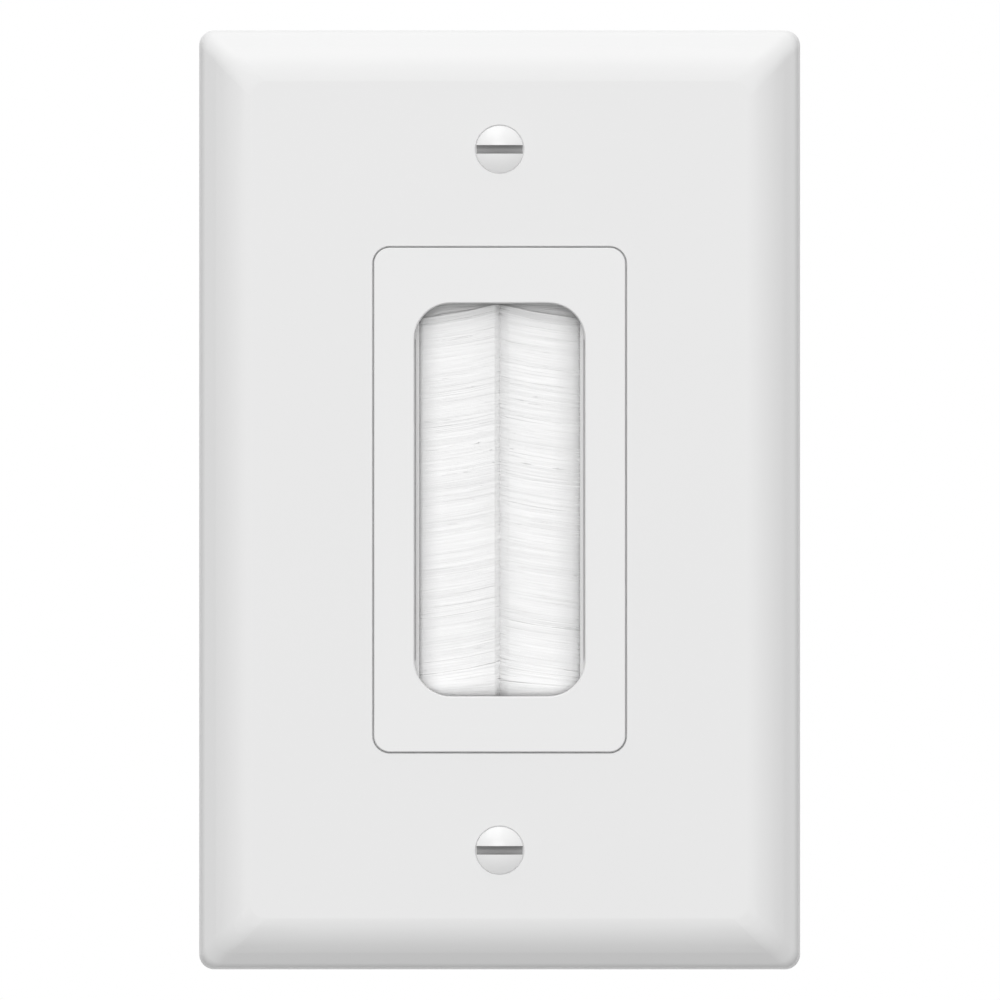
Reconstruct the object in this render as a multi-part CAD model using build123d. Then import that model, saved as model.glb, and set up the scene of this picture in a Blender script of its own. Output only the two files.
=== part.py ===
from build123d import *
import os
from math import cos, radians, sin, tan

# Brush pass-through insert in its wall plate, for a single-gang wall box.
# Millimetres. The front faces -Y, +X is to the right seen from the front, +Z is up.
# The origin is the middle of the insert on the wall's surface, where the plate's rim rests.
# A depth is a distance in front of the wall's surface, so depth d lies at y = -d.

# Wall plate
plate_width = 80.0
plate_height = 125.0
plate_depth = 6.5  # wall's surface to front face
plate_wall = 2.0
plate_corner = 2.0  # corner radius seen from the front
cavity_corner = 1.0
roll_radius = 7.5  # wide roll from the face towards the edge
roll_angle = 38.0  # slope where the wide roll ends
slope_run = 1.4  # straight slope between the two rolls
edge_radius = 1.6  # tight roll over the edge
cavity_edge_radius = 0.4
edge_draft = 5.0  # lean of the outer wall
rim_thickness = 0.8  # rim of the opening, in front of the insert's flange
collar_wall = 1.4  # rear collar around the opening
collar_gap = 0.3  # collar and ribs to the insert's ears
rib_thickness = 1.0
side_rib_height = 22.0  # height of the side ribs above and below the middle

# Insert frame
insert_width = 33.4
insert_height = 67.0
insert_corner = 2.1
insert_gap = 0.2  # insert to the plate's opening, all round
flange_width = 0.6  # flange behind the plate's rim, which closes the gap
flange_thickness = 1.2
flange_fit = 0.1  # flange to the plate's rim
insert_proud = 0.15  # insert's face in front of the plate's face
panel_thickness = 2.2
body_wall = 1.65
body_corner = 0.8  # inner corners of the body
end_border = 7.3  # face above and below the window
window_corner = 4.9
window_taper = 0.1  # each window wall leans in this far from front to back
edge_chamfer = 0.1  # broken edges of the plate's opening, the face and the window
ear_width = 27.0
ear_thickness = 2.2
ear_corner = 3.0
ear_margin = 4.3  # plate screw's axis to the ear's end
ear_slot_length = 7.0
ear_slot_fit = 0.25  # box screw's thread to the slot's long sides

# Brush seats and the rear retainer
seat_margin = 0.4  # seat's end beyond the window's end
stop_thickness = 1.4
lip_width = 1.05  # ridge in front of each channel's mouth
lip_show = 0.7  # how far a ridge shows inside the window
lip_height = 0.65
shadow_groove_width = 0.15  # groove where a ridge meets the window's wall
shadow_groove_depth = 0.35
brush_fit = 0.05  # clearance around a channel in its seat
retainer_thickness = 2.4
retainer_fit = 0.1  # retainer's rim to the body's walls
retainer_cover = 2.6  # retainer's window inside the face's window, at each end
hook_reach = 1.0  # how far a snap hook grips over the retainer's rim
hook_height = 1.5
tongue_width = 6.0
tongue_slot = 0.8
tongue_length = 4.0
tongue_offset = 18.0  # height of the snap tongues above and below the middle

# Strip brushes
brush_play = 2.6  # spare length of the seat above the brush, which rests on the lower stop
channel_width = 4.3  # front to back
channel_depth = 3.2
channel_sheet = 0.5
channel_bend = 0.9  # bend radius at the middle of the sheet
crimp = 0.5  # each lip of the channel is pressed in this far
crimp_length = 1.1
core_wire_radius = 0.5
filament_fit = 0.05  # filaments to the channel and to the core wire
fold_thickness = 0.9  # filaments between the core wire and the channel's back
bristle_clearance = 0.2  # filaments to the back of the face and to the retainer
bristle_lift = 9.5  # degrees that the filaments rise towards the seam
lip_clearance = 0.5  # filaments to the lips
first_flare = 0.7  # length of the steep spread after the lips
first_spread = 0.55  # how far the filaments spread there, on each face
bristle_flare = 3.2  # length from the lips to the full thickness
tuft_pitch = 1.5
parting_width = 0.7  # V-shaped parting between two tufts
parting_depth = 0.2
seam_gap = 0.1

# Screws
box_screw_spacing = 83.34
box_head_radius = 2.75
box_head_height = 1.7
box_head_chamfer = 0.4
box_neck_radius = 1.45
box_neck_spare = 0.3  # neck below the ear
box_screw_length = 19.0
box_slot_width = 1.0
box_slot_depth = 0.9
thread_radius = 1.75
tip_chamfer = 0.5
screw_side_gap = 0.43  # plate screw to the box screw's head beside it
plate_head_radius = 3.15
plate_dome_height = 0.95
plate_rim_height = 0.12  # straight edge of the head between dome and cone
plate_screw_length = 12.7
plate_slot_width = 1.15
plate_slot_depth = 1.2
sink_radius = 3.32
sink_angle = 82.0
sink_bore_fit = 0.15  # plate screw's thread to the bore under its head
screw_fit = 0.05

# Places that follow from the sizes above
face_depth = plate_depth + insert_proud
panel_back = face_depth - panel_thickness
retainer_front = panel_back - channel_width - 2 * brush_fit
retainer_back = retainer_front - retainer_thickness
body_back = retainer_back - brush_fit
cavity_depth = plate_depth - plate_wall
collar_back = ear_thickness + collar_gap

body_inner_x = insert_width / 2 - body_wall
body_inner_z = insert_height / 2 - body_wall
channel_back_x = body_inner_x - brush_fit
mouth_x = channel_back_x - channel_depth
lip_outer_x = mouth_x - brush_fit
lip_inner_x = lip_outer_x - lip_width
window_width = 2 * (lip_inner_x + lip_show)
window_height = insert_height - 2 * end_border
seat_half = window_height / 2 + seat_margin
brush_length = 2 * seat_half - brush_play
brush_bottom = -seat_half
brush_depth = (panel_back + retainer_front) / 2
seat_half_depth = channel_width / 2 + brush_fit
bristle_half = seat_half_depth - bristle_clearance
lip_half = seat_half_depth - lip_height - lip_clearance
root_half = channel_width / 2 - channel_sheet - filament_fit
mouth_half = root_half - crimp
root_back_x = channel_back_x - channel_sheet - filament_fit
core_x = root_back_x - fold_thickness - filament_fit - core_wire_radius

box_screw_z = box_screw_spacing / 2
plate_screw_z = box_screw_z + box_head_radius + screw_side_gap + thread_radius
ear_end = plate_screw_z + ear_margin
ear_slot_width = 2 * (thread_radius + ear_slot_fit)
sink_bore_radius = thread_radius + sink_bore_fit


def slab(outline, back, front):
    """Outline seen from the front, made solid between two depths."""
    return extrude(Plane.XZ.offset(back) * outline, front - back)


def block(x_range, depth_range, z_range):
    """Rectangular block between two values along each axis."""
    size_x = x_range[1] - x_range[0]
    size_z = z_range[1] - z_range[0]
    middle = Pos((x_range[0] + x_range[1]) / 2, (z_range[0] + z_range[1]) / 2)
    return slab(middle * Rectangle(size_x, size_z), depth_range[0], depth_range[1])


def both_sides(shape):
    """Shape with its mirror image on the other side of the middle."""
    return shape + mirror(shape, about=Plane.YZ)


def both_ends(shape):
    """Shape with its mirror image at the other end."""
    return shape + mirror(shape, about=Plane.XY)


def pillow(width, height, depth, corner, wide_radius, tight_radius):
    """Block with a flat front whose four sides roll over into a drafted wall."""
    steepest = 90 - edge_draft
    wide_reach = wide_radius * sin(radians(roll_angle))
    wide_drop = wide_radius * (1 - cos(radians(roll_angle)))
    slope_drop = slope_run * tan(radians(roll_angle))

    def tight_reach(angle):
        return tight_radius * (sin(radians(angle)) - sin(radians(roll_angle)))

    def tight_drop(angle):
        return tight_radius * (cos(radians(roll_angle)) - cos(radians(angle)))

    wall_height = depth - wide_drop - slope_drop - tight_drop(steepest)
    wall_lean = wall_height * tan(radians(edge_draft))
    face_inset = wall_lean + tight_reach(steepest) + slope_run + wide_reach

    def section(inset, level):
        outline = RectangleRounded(width - 2 * inset, height - 2 * inset, corner)
        return Plane.XZ.offset(level) * outline

    def wide_section(angle):
        inset = face_inset - wide_radius * sin(radians(angle))
        return section(inset, depth - wide_radius * (1 - cos(radians(angle))))

    def tight_section(angle):
        inset = face_inset - wide_reach - slope_run - tight_reach(angle)
        return section(inset, depth - wide_drop - slope_drop - tight_drop(angle))

    quarters = (0.0, 0.25, 0.5, 0.75, 1.0)
    wall = loft([section(0, 0), section(wall_lean, wall_height)], ruled=True)
    tight = loft([tight_section(steepest + q * (roll_angle - steepest)) for q in quarters])
    slope = loft([tight_section(roll_angle), wide_section(roll_angle)], ruled=True)
    wide = loft([wide_section(roll_angle * (1 - q)) for q in quarters])
    return wall + tight + slope + wide


def sunk_hole():
    """Countersunk hole of a plate screw, as the solid that is cut away."""
    cone_depth = (sink_radius - sink_bore_radius) / tan(radians(sink_angle / 2))
    profile = Polyline(
        (0, -plate_depth),
        (sink_radius, -plate_depth),
        (sink_bore_radius, cone_depth - plate_depth),
        (sink_bore_radius, 0),
        (0, 0),
        close=True,
    )
    return Pos(0, 0, plate_screw_z) * revolve(make_face(profile), Axis.Y)


def make_wall_plate():
    outer = pillow(plate_width, plate_height, plate_depth, plate_corner, roll_radius, edge_radius)
    cavity = pillow(
        plate_width - 2 * plate_wall,
        plate_height - 2 * plate_wall,
        cavity_depth,
        cavity_corner,
        roll_radius - plate_wall,
        cavity_edge_radius,
    )
    opening_width = insert_width + 2 * insert_gap
    opening_height = insert_height + 2 * insert_gap
    opening_corner = insert_corner + insert_gap
    opening = RectangleRounded(opening_width, opening_height, opening_corner)
    rebate = RectangleRounded(
        opening_width + 2 * flange_width,
        opening_height + 2 * flange_width,
        opening_corner + flange_width,
    )
    collar_width = flange_width + collar_wall
    collar_outline = RectangleRounded(
        opening_width + 2 * collar_width,
        opening_height + 2 * collar_width,
        opening_corner + collar_width,
    )
    rib_depths = (collar_back, cavity_depth + plate_wall / 2)
    half_rib = rib_thickness / 2
    rib_x = opening_width / 2 + collar_width - half_rib
    side_rib = block(
        (opening_width / 2, plate_width / 2),
        rib_depths,
        (side_rib_height - half_rib, side_rib_height + half_rib),
    )
    end_rib = block(
        (rib_x - half_rib, rib_x + half_rib),
        rib_depths,
        (opening_height / 2 - opening_corner, plate_height / 2),
    )
    ribs = both_ends(both_sides(side_rib + end_rib))
    plate = outer - cavity
    plate += ribs & outer
    plate += slab(collar_outline, collar_back, cavity_depth + plate_wall / 2)
    plate -= slab(rebate, 0, plate_depth - rim_thickness)
    plate -= slab(opening, 0, plate_depth)
    front = plate.faces().sort_by(Axis.Y)[0]
    plate = chamfer(front.inner_wires()[0].edges(), edge_chamfer)
    return plate - both_ends(sunk_hole())


def window_cutter(front, back):
    """The tapered window, as the solid that is cut out of the face."""
    wide = RectangleRounded(window_width, window_height, window_corner)
    narrow = RectangleRounded(
        window_width - 2 * window_taper,
        window_height - 2 * window_taper,
        window_corner - window_taper,
    )
    return loft([Plane.XZ.offset(back) * narrow, Plane.XZ.offset(front) * wide], ruled=True)


def brush_lip(depth_range):
    """Ridge that keeps a channel from sliding into the window."""
    return block((lip_inner_x, lip_outer_x), depth_range, (-seat_half, seat_half))


def snap_hook():
    """Profile of a snap hook behind the side wall, seen along Z, over the width of its tongue."""
    under = -body_back
    grip_x = body_inner_x - hook_reach
    outer_x = insert_width / 2
    root = under - body_wall
    profile = Polyline(
        (outer_x, root),
        (outer_x, under + hook_height),
        (body_inner_x + hook_reach / 2, under + hook_height),
        (grip_x, under + hook_height / 3),
        (grip_x, under),
        (body_inner_x, under),
        (body_inner_x, root),
        close=True,
    )
    hook = extrude(make_face(profile), tongue_width)
    return Pos(0, 0, tongue_offset - tongue_width / 2) * hook


def make_insert_frame():
    outline = RectangleRounded(insert_width, insert_height, insert_corner)
    hollow = RectangleRounded(2 * body_inner_x, 2 * body_inner_z, body_corner)
    flange_outline = RectangleRounded(
        insert_width + 2 * flange_width,
        insert_height + 2 * flange_width,
        insert_corner + flange_width,
    )
    flange_front = plate_depth - rim_thickness - flange_fit
    frame = slab(outline, body_back, face_depth)
    frame += slab(flange_outline, flange_front - flange_thickness, flange_front)
    frame += slab(RectangleRounded(ear_width, 2 * ear_end, ear_corner), 0, ear_thickness)
    frame -= slab(hollow, body_back, panel_back)
    frame -= window_cutter(face_depth, panel_back)
    front = frame.faces().sort_by(Axis.Y)[0]
    frame = chamfer(front.edges(), edge_chamfer)
    stop = block(
        (lip_inner_x, body_inner_x),
        (retainer_front, panel_back),
        (seat_half, seat_half + stop_thickness),
    )
    frame += both_ends(both_sides(stop))
    frame += both_sides(brush_lip((panel_back - lip_height, panel_back)))
    wall_x = window_width / 2 - window_taper
    straight_wall = window_height / 2 - window_corner
    groove = block(
        (wall_x - shadow_groove_width, wall_x),
        (panel_back - shadow_groove_depth, panel_back),
        (-straight_wall, straight_wall),
    )
    frame -= both_sides(groove)
    slot_x = (body_inner_x - hook_reach, insert_width / 2)
    slot_depths = (body_back, body_back + tongue_length)
    tongue_edge = tongue_offset + tongue_width / 2
    tongue_foot = tongue_offset - tongue_width / 2
    frame -= both_ends(both_sides(block(slot_x, slot_depths, (tongue_edge, tongue_edge + tongue_slot))))
    frame -= both_ends(both_sides(block(slot_x, slot_depths, (tongue_foot - tongue_slot, tongue_foot))))
    frame += both_ends(both_sides(snap_hook()))
    box_slot = Pos(0, box_screw_z) * SlotOverall(ear_slot_length, ear_slot_width)
    screw_hole = Pos(0, plate_screw_z) * Circle(thread_radius + screw_fit)
    return frame - both_ends(slab(box_slot + screw_hole, 0, ear_thickness))


def make_brush_retainer():
    outline = RectangleRounded(
        2 * (body_inner_x - retainer_fit),
        2 * (body_inner_z - retainer_fit),
        body_corner,
    )
    window = RectangleRounded(
        2 * lip_inner_x,
        window_height - 2 * retainer_cover,
        window_corner - lip_show,
    )
    frame = slab(outline - window, retainer_back, retainer_front)
    return frame + both_sides(brush_lip((retainer_front, retainer_front + lip_height)))


def make_brush_channel():
    """Folded metal channel of the right-hand brush, open towards the middle."""
    middle = channel_sheet / 2
    back_x = channel_back_x - middle
    front_y = channel_width / 2 - middle
    fold = FilletPolyline(
        (mouth_x, front_y - crimp),
        (mouth_x + crimp_length, front_y),
        (back_x, front_y),
        (back_x, -front_y),
        (mouth_x + crimp_length, -front_y),
        (mouth_x, crimp - front_y),
        radius=channel_bend,
    )
    channel = extrude(trace(fold, channel_sheet), brush_length, dir=(0, 0, 1))
    half = channel_width / 2
    channel &= block((mouth_x, channel_back_x), (-half, half), (0, brush_length))
    return Pos(0, -brush_depth, brush_bottom) * channel


def make_core_wire():
    """Wire inside the right-hand channel that the filaments are folded over."""
    outline = Pos(core_x, 0) * Circle(core_wire_radius)
    return Pos(0, -brush_depth, brush_bottom) * extrude(outline, brush_length)


def tuft_row(side):
    """Points up one face of the filaments: a flat ridge for each tuft, with partings between."""
    tuft_count = round(brush_length / tuft_pitch)
    pitch = brush_length / tuft_count
    ridge = side * bristle_half
    valley = side * (bristle_half - parting_depth)
    points = [(valley, 0)]
    for i in range(tuft_count):
        points.append((ridge, i * pitch + parting_width / 2))
        points.append((ridge, (i + 1) * pitch - parting_width / 2))
        points.append((valley, (i + 1) * pitch))
    return points


def make_bristles():
    """Filaments of the right-hand brush: a folded root in the channel and a ribbed, rising pack."""
    ribbed = Polyline(*tuft_row(1), *reversed(tuft_row(-1)), close=True)
    tufts = Plane.YZ.offset(mouth_x) * make_face(ribbed)
    lift = radians(bristle_lift)
    pack = extrude(tufts, mouth_x / cos(lift), dir=(-cos(lift), 0, sin(lift)))
    tip_x = seam_gap / 2
    knee_x = lip_inner_x - first_flare
    knee = lip_half + first_spread
    spread_x = lip_inner_x - bristle_flare
    side = bristle_half + parting_depth
    trim = Polyline(
        (mouth_x, mouth_half),
        (lip_inner_x, lip_half),
        (knee_x, knee),
        (spread_x, side),
        (tip_x, side),
        (tip_x, -side),
        (spread_x, -side),
        (knee_x, -knee),
        (lip_inner_x, -lip_half),
        (mouth_x, -mouth_half),
        close=True,
    )
    pack &= extrude(make_face(trim), brush_length + mouth_x)
    crimp_x = mouth_x + crimp_length
    root_outline = Polyline(
        (mouth_x, -mouth_half),
        (mouth_x, mouth_half),
        (crimp_x, root_half),
        (root_back_x, root_half),
        (root_back_x, -root_half),
        (crimp_x, -root_half),
        close=True,
    )
    root = make_face(root_outline)
    root = fillet(root.vertices().group_by(Axis.X)[-1], channel_bend - channel_sheet / 2)
    wire_hole = Pos(core_x, 0) * Circle(core_wire_radius + filament_fit)
    pack += extrude(root - wire_hole, brush_length)
    return Pos(0, -brush_depth, brush_bottom) * pack


def screw_tip(radius, end):
    """Last two points of a screw's half profile, chamfered at its tip."""
    return [(radius, end - tip_chamfer), (radius - tip_chamfer, end), (0, end)]


def make_plate_screw():
    """Slotted oval-head screw along Y, with its rim where the countersink carries it."""
    slope = tan(radians(sink_angle / 2))
    rim_y = (sink_radius - plate_head_radius - screw_fit) / slope - plate_depth
    cone_y = rim_y + (plate_head_radius - thread_radius) / slope
    dome_y = rim_y - plate_rim_height
    top_y = dome_y - plate_dome_height
    dome = TangentArc((0, top_y), (plate_head_radius, dome_y), tangent=(1, 0))
    shank = Polyline(
        (plate_head_radius, dome_y),
        (plate_head_radius, rim_y),
        (thread_radius, cone_y),
        *screw_tip(thread_radius, rim_y + plate_screw_length),
        (0, top_y),
    )
    screw = revolve(make_face([dome, shank]), Axis.Y)
    slot_width = (-plate_slot_width / 2, plate_slot_width / 2)
    slot_depths = (-top_y - plate_slot_depth, -top_y)
    return screw - block((-plate_head_radius, plate_head_radius), slot_depths, slot_width)


def make_box_screw():
    """Slotted low-head screw along Y, seated on the ear, with a thin neck that keeps it captive."""
    seat_y = -ear_thickness
    top_y = seat_y - box_head_height
    profile = Polyline(
        (0, top_y),
        (box_head_radius, top_y),
        (box_head_radius, seat_y),
        (box_neck_radius, seat_y),
        (box_neck_radius, box_neck_spare),
        (thread_radius, box_neck_spare),
        *screw_tip(thread_radius, seat_y + box_screw_length),
        close=True,
    )
    screw = revolve(make_face(profile), Axis.Y)
    crown = screw.edges().sort_by(Axis.Y)[0]
    screw = chamfer(crown, box_head_chamfer)
    slot_width = (-box_slot_width / 2, box_slot_width / 2)
    slot_depths = (-top_y - box_slot_depth, -top_y)
    return screw - block((-box_head_radius, box_head_radius), slot_depths, slot_width)


def pair(screw, z):
    """The same screw at both ends, as two separate solids."""
    return Compound([Pos(0, 0, z) * screw, Pos(0, 0, -z) * screw])


right_pieces = {
    "brush_channel": make_brush_channel(),
    "core_wire": make_core_wire(),
    "bristles": make_bristles(),
}
pieces = {
    "wall_plate": make_wall_plate(),
    "insert_frame": make_insert_frame(),
    "brush_retainer": make_brush_retainer(),
    "plate_screws": pair(make_plate_screw(), plate_screw_z),
    "box_screws": pair(make_box_screw(), box_screw_z),
}
for name, piece in right_pieces.items():
    pieces[f"right_{name}"] = piece
    pieces[f"left_{name}"] = mirror(piece, about=Plane.YZ)

os.makedirs("parts", exist_ok=True)
for name, piece in pieces.items():
    export_step(piece, f"parts/{name}.step")
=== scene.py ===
"""Looks of a brush pass-through insert in its wall plate: finishes, filaments, threaded screws, stage."""
import math

import bpy
import numpy as np
from bpy.props import FloatProperty, FloatVectorProperty, IntProperty, PointerProperty
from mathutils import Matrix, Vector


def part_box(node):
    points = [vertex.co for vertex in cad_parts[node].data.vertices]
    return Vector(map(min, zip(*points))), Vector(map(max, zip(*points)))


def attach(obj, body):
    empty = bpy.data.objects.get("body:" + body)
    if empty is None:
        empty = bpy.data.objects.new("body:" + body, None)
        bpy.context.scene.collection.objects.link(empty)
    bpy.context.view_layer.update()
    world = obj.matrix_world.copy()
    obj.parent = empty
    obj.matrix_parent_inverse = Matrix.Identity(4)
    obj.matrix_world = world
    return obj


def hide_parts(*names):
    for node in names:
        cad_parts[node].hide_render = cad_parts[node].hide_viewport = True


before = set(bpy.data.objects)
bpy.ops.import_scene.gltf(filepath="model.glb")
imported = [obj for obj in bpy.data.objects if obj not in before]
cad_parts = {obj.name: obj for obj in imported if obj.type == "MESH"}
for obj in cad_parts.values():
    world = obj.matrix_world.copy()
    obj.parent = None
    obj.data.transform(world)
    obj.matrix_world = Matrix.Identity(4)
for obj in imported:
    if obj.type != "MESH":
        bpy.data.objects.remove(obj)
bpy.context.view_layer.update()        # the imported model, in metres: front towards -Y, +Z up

bl_info = {
    "name": "Brush wall plate",
    "version": (1, 0, 0),
    "blender": (4, 5, 0),
    "location": "3D View > Sidebar > Brush plate",
    "description": "Finishes, brush filaments, threaded screws and a studio for a brush wall plate",
    "category": "Object",
}

MM = 0.001
BODY = "root"
MIRRORS = {"left": -1, "right": 1}  # the right-hand brush is the pattern for both

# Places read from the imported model
channel_low, channel_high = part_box("right_brush_channel")
bristle_low, bristle_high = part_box("right_bristles")
wire_low, wire_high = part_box("right_core_wire")
bristle_reach = channel_low.x - bristle_low.x
bristle_half = (bristle_high.y - bristle_low.y) / 2
plate_low, plate_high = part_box("wall_plate")
plate_screw_low, plate_screw_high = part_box("plate_screws")
box_screw_low, box_screw_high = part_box("box_screws")

# Sockets of a Mix node that mixes colours
MIX_FACTOR, MIX_FIRST, MIX_SECOND, MIX_RESULT = 0, 6, 7, 2

# Level along Y where the insert's satin face ends, and the length over which its white turns to the greyer
# painted shade behind it
FACE_END = -5.0 * MM
FACE_FADE = 0.5 * MM

# Shape of a brush's filaments
RISE_STRAIGHT, RISE_CURL, RISE_KICK = 0.62, 0.24, 0.14  # what the rise to the seam is made up of
FAN_POWER = 1.3  # how fast the fan fades away from the ends of the row
SINK_POWER = 1.5  # over 1, so that most filaments lie near the face
LOOSE_DEPTH = (0.45, 0.85)  # how deep loose filaments lie, as a part of the pack's half thickness
LOOSE_BEND = 0.2  # part of the way to the seam over which a loose filament bends up
ROOT_SPREAD = 0.3  # layers at the core wire, as a part of the skin
CORE_START = -0.1 * MM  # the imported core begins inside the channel's mouth
CORE_DEPTH = 0.65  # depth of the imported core's surface, as a part of the skin
CORE_TONE = 0.9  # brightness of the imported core, on the strands' scale
STRAND_SIDES = 3
STRAND_TURN = 0.25  # radians by which a strand's flat may look away from straight outwards

# Rings of a filament, counted from its front tip, that take the roots' painted shade: the lips on both legs,
# and the end of the first flare
LIP_RINGS = (5, -4)
FLARE_RING = 4
TIP_BLEND = 0.25  # how much of the tip's painted shade the ring beside it takes

# Shape of a turned screw
HEAD_CENTRE = 0.02  # radius of the small face in the middle of a head, as a part of the head's radius
DOME_STATIONS = (HEAD_CENTRE, 0.2, 0.4, 0.6, 0.75, 0.88, 0.96, 1.0)  # parts of the head's radius
ROUND_SEGMENTS = 72
THREAD_STEPS = 12  # rings in one turn of the thread
THREAD_ROOT, THREAD_FLANK = 0.15, 0.65  # parts of half a pitch: the flat root and the flank
SLOT_STEPS = 9  # points across a slot's hollow floor
SHARP_ANGLE = math.radians(35)


def linear(hex_colour):
    """An sRGB hex colour as linear red, green and blue."""
    parts = [int(hex_colour[i:i + 2], 16) / 255 for i in (1, 3, 5)]
    return tuple(p / 12.92 if p <= 0.04045 else ((p + 0.055) / 1.055) ** 2.4 for p in parts)


def length(name, description, millimetres):
    """A size in a property group, given in millimetres and kept in metres."""
    return FloatProperty(
        name=name,
        description=description,
        default=millimetres * MM,
        min=0.0,
        unit="LENGTH",
        precision=5,
    )


def point(name, description, metres):
    """A place in a property group, in metres."""
    return FloatVectorProperty(
        name=name,
        description=description,
        default=metres,
        size=3,
        subtype="TRANSLATION",
        unit="LENGTH",
    )


def portion(name, description, amount):
    """A part of the whole in a property group, from 0 to 1."""
    return FloatProperty(
        name=name,
        description=description,
        default=amount,
        min=0.0,
        max=1.0,
        subtype="FACTOR",
    )


def colour(name, description, hex_colour):
    """A colour in a property group, given as sRGB hex and kept linear."""
    return FloatVectorProperty(
        name=name,
        description=description,
        default=linear(hex_colour),
        size=3,
        min=0.0,
        max=1.0,
        subtype="COLOR",
    )


class FinishSettings(bpy.types.PropertyGroup):
    """Colours of the pieces."""

    plate: colour("Plate", "Moulded polycarbonate of the wall plate", "#E8E8E8")
    insert: colour("Insert", "Moulded ABS of the insert's face", "#EDEDED")
    # Painted shade: the greyer white of the insert's recesses and retainer behind its face
    insert_shaded_inside: colour("Inside", "Moulded ABS of the insert's inside and its retainer", "#DBDBDB")
    filament: colour("Filaments", "Drawn nylon of the bristles", "#FFFFFF")
    darkest: portion("Darkest strand", "Brightness of the darkest strand, against the brightest", 0.75)
    paint: colour("Screw paint", "Enamel on the plate screws", "#EFEFEF")
    # Painted shade: the grey of the plate screws' slot floors
    slot: colour("Screw slot", "Steel in the plate screws' slots", "#7A7A7A")
    zinc: colour("Zinc", "Zinc plating of the box screws", "#C6C9CC")
    aluminium: colour("Aluminium", "Folded sheet of the brush channels", "#D3D5D8")
    steel: colour("Steel", "Drawn core wire of the brushes", "#B4B6B8")


class BrushSettings(bpy.types.PropertyGroup):
    """Sizes and tones of the two strip brushes."""

    seed: IntProperty(name="Seed", description="Start of the random draws", default=7)
    filament_count: IntProperty(
        name="Filaments",
        description="Filaments in each brush, each folded over the core wire",
        default=2680,
        min=1,
    )
    filament_diameter: length("Filament diameter", "Thickness of one filament", 0.17)
    tuft_pitch: length("Tuft pitch", "Height of the tufts that stick together", 1.5)
    tuft_stray: length("Tuft stray", "How far the tips of a whole tuft stray up or down", 0.05)
    tuft_sink: portion("Tuft sink", "How far a tuft lies back, as a part of the half thickness", 0.005)
    lip_reach: length("Lip reach", "Channel's mouth to the inner edge of the seat's lips", 1.1)
    lip_half: length("Half pack at the lips", "Half thickness of the filaments between the lips", 0.85)
    first_spread: length("First spread", "How far the filaments spread after the lips, on each face", 0.6)
    left_first: length("Left first flare", "Length of that steep spread, left", 0.6)
    right_first: length("Right first flare", "Length of that steep spread, right", 1.2)
    left_flare: length("Left flare", "Length from the lips to the full thickness, left", 3.0)
    right_flare: length("Right flare", "Length from the lips to the full thickness, right", 3.7)
    skin: length("Skin", "Depth of the layer of single filaments on each face", 0.16)
    stray: length("Stray", "How far a filament's tip strays up or down", 0.05)
    bow: length("Bow", "How far a filament bows up or down between its ends", 0.03)
    left_seam: length("Left seam rounding", "Length over which the left tips draw in at the seam", 0.65)
    right_seam: length("Right seam rounding", "Length over which the right tips draw in at the seam", 1.3)
    seam_sink: length("Seam sink", "How far the tips draw in at the seam, on each face", 1.0)
    tip_spread: length("Tip spread", "How far the tips end before or past one another", 0.06)
    foot: length("Foot", "Height of the lowest filaments, which draw back behind the window's edge", 1.8)
    foot_sink: length("Foot sink", "How far the lowest filament draws back", 0.5)
    end_fan: length("End fan", "Height of the lowest and highest filaments that fan out", 3.5)
    splay_drop: length("Splay drop", "How far the lowest tips fan out downwards", 1.5)
    splay_lift: length("Splay lift", "How far the highest tips fan out upwards", 0.25)
    loose_over: length("Loose height", "How far loose filaments stand above the pack's highest tip", 0.15)
    loose_count: IntProperty(
        name="Loose filaments",
        description="Filaments from the top tufts that stand up behind the window's upper edge",
        default=44,
        min=0,
    )
    roundness: portion("Roundness", "How much a strand shades as a tube, not as part of the pack", 0.1)
    strand_tones: portion("Strand tones", "How far strands differ in brightness", 0.2)
    tuft_tones: portion("Tuft tones", "How far whole tufts differ in brightness", 0.03)
    streaks: portion("Streaks", "How far the brightness varies along a strand", 0.1)
    # Painted shade: the top tuft's tone, the tip tones and the root tones below darken strands where shade
    # falls
    top_tuft_shadow: portion("Top tone", "Tone of the top tuft, as a part of the other tufts' tone", 0.45)
    left_tip_shade: portion("Left tip tone", "Brightness of the left brush's cut tips", 0.6)
    right_tip_shade: portion("Right tip tone", "Brightness of the right brush's cut tips", 0.1)
    left_root_shade: portion("Left root tone", "Brightness of the left roots between the lips", 0.25)
    right_root_shade: portion("Right root tone", "Brightness of the right roots between the lips", 0.05)


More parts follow.
